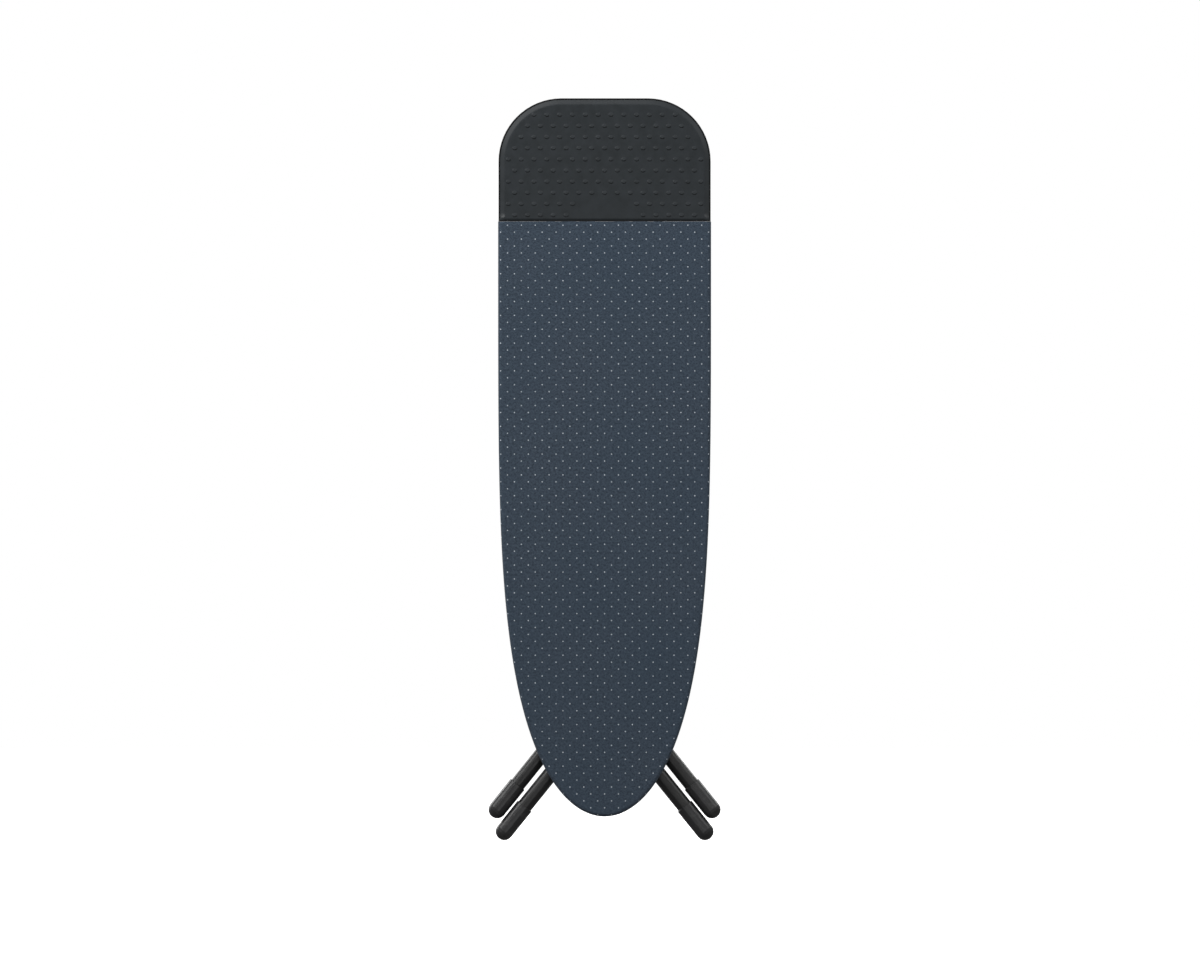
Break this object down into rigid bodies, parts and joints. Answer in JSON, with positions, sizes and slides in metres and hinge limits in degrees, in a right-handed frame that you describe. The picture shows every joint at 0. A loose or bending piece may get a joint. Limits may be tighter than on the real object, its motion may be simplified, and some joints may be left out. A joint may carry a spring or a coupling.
{
  "type": "ironing board",
  "caption": "Folding ironing board with a padded fabric cover, a bumped silicone iron rest, crossing tubular legs on a sliding carriage, and four splayed feet.",
  "frame": {"origin": "bottom centre of the folded board's bounding box, as it stands on its lower pair of feet", "axes": "+Z up along the board, from the nose at the bottom to the iron rest at the top; the ironing surface faces -Y and the folded legs lie on the +Y side; +X is to the right of someone facing the ironing surface. In use the part is turned so that -Y points up."},
  "size_m": [0.415, 0.066, 1.3246],
  "materials": {
    "cover_fabric": "woven slate-navy cotton with small pale dots",
    "pad_felt": "needled felt",
    "panel_steel": "fine perforated steel, satin powder coat",
    "frame_paint": "satin charcoal powder coat",
    "leg_paint": "satin charcoal powder coat",
    "foot_rubber": "matt moulded foot caps",
    "black_plastic": "matt moulded plastic",
    "tray_plastic": "matt moulded plastic",
    "mat_silicone": "matt silicone with raised bumps",
    "zinc_steel": "bright zinc plate",
    "acetal": "grey acetal"
  },
  "bodies": {
    "board": {"cover": "cover_fabric", "pad": "pad_felt", "mesh_panel": "panel_steel", "rim_channel": "frame_paint", "cross_rib_nose": "frame_paint", "cross_rib_lower": "frame_paint", "cross_rib_upper": "frame_paint", "cross_rib_tail": "frame_paint", "rail_left": "frame_paint", "rail_right": "frame_paint", "hinge_crossmember": "frame_paint", "hinge_bracket_left": "frame_paint", "hinge_bracket_right": "frame_paint", "rack_bracket": "frame_paint", "shaft_bracket_inner": "frame_paint", "shaft_bracket_outer": "frame_paint", "rail_stop_left": "black_plastic", "rail_stop_right": "black_plastic", "hinge_axle_cap_left": "black_plastic", "hinge_axle_cap_right": "black_plastic", "rest_tray": "tray_plastic", "rest_mat": "mat_silicone", "hinge_axle": "zinc_steel", "rest_screw_left_low": "zinc_steel", "rest_screw_left_high": "zinc_steel", "rest_screw_right_low": "zinc_steel", "rest_screw_right_high": "zinc_steel", "rack_pin": "zinc_steel", "lever_spring": "zinc_steel"},
    "inner_legs": {"inner_leg_tube_left": "leg_paint", "inner_leg_tube_right": "leg_paint", "inner_leg_foot_left": "foot_rubber", "inner_leg_foot_right": "foot_rubber", "inner_leg_plug_left": "black_plastic", "inner_leg_plug_right": "black_plastic", "inner_leg_brace": "leg_paint", "inner_leg_yoke": "black_plastic", "cross_axle": "zinc_steel", "cross_spacer_left": "acetal", "cross_spacer_right": "acetal"},
    "carriage": {"carriage_bar": "zinc_steel", "carriage_glide_left": "acetal", "carriage_glide_right": "acetal", "carriage_pin_left": "zinc_steel", "carriage_pin_right": "zinc_steel", "carriage_washer_left": "acetal", "carriage_washer_right": "acetal"},
    "outer_legs": {"outer_leg_tube_left": "leg_paint", "outer_leg_tube_right": "leg_paint", "outer_leg_foot_left": "foot_rubber", "outer_leg_foot_right": "foot_rubber", "outer_leg_plug_left": "black_plastic", "outer_leg_plug_right": "black_plastic", "outer_leg_strap_upper": "leg_paint", "outer_leg_strap_lower": "leg_paint", "cross_rivet_cap_left": "zinc_steel", "cross_rivet_cap_right": "zinc_steel"},
    "release": {"lift_shaft": "zinc_steel", "release_lever": "black_plastic"},
    "rack": {"lock_rack": "zinc_steel"}
  },
  "joints": [
    {"name": "carriage_slide", "type": "slide", "parent": "board", "child": "carriage", "axis": [0, 0, -1], "range_m": [0, 0.697]},
    {"name": "outer_leg_hinge", "type": "hinge", "parent": "carriage", "child": "outer_legs", "pos_m": [0, 0.016, 1.1398], "axis": [1, 0, 0], "range_deg": [0, 127.06]},
    {"name": "inner_leg_hinge", "type": "hinge", "parent": "board", "child": "inner_legs", "pos_m": [0, 0.016, 1.181], "axis": [1, 0, 0], "range_deg": [0, 48]},
    {"name": "release_lever", "type": "hinge", "parent": "board", "child": "release", "pos_m": [0, -0.016, 0.745], "axis": [-1, 0, 0], "range_deg": [0, 20], "stiffness_Nm_per_rad": 1.2, "springref_deg": -11.46},
    {"name": "rack_lift", "type": "hinge", "parent": "board", "child": "rack", "pos_m": [0, -0.0135, 0.418], "axis": [1, 0, 0], "range_deg": [0, 1]}
  ],
  "couplings": [
    {"joint": "carriage_slide", "follows": "outer_leg_hinge", "m_per_rad": 0.3143},
    {"joint": "inner_leg_hinge", "follows": "outer_leg_hinge", "ratio": 0.37777},
    {"joint": "rack_lift", "follows": "release_lever", "ratio": 0.05}
  ]
}
